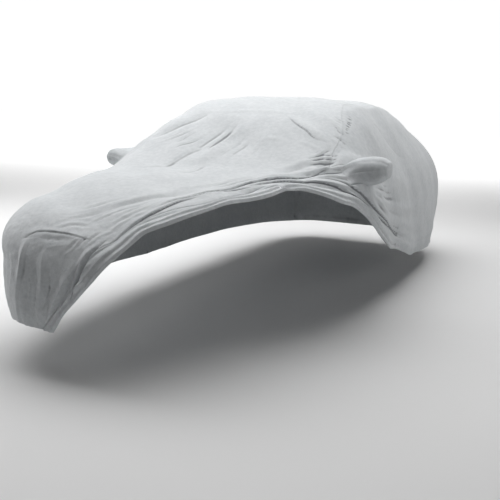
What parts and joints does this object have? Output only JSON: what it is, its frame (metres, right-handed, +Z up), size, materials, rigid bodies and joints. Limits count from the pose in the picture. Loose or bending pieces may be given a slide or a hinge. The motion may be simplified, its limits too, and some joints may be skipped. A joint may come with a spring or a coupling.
{
  "type": "fitted car cover",
  "caption": "Hollow fitted cover of light grey non-woven cloth in the shape of a saloon car, elastic hem, pockets for the wing mirrors, one front corner pulled up in long pleats",
  "frame": {"origin": "inside of the cloth at the crest of the roof, on the middle line", "axes": "-Y points to the front, +X to the cover's left side and +Z up; the length runs along Y"},
  "size_m": [2.112, 5.3127, 1.3429],
  "materials": {
    "top_cloth": "matte light bluish grey non-woven cloth, softly mottled",
    "side_cloth": "matte light bluish grey non-woven cloth, softly mottled",
    "pocket_cloth": "matte light bluish grey non-woven cloth, softly mottled"
  },
  "bodies": {
    "root": {"top_panel": "top_cloth", "left_side_panel": "side_cloth", "right_side_panel": "side_cloth", "left_mirror_pocket": "pocket_cloth", "right_mirror_pocket": "pocket_cloth"}
  },
  "joints": []
}
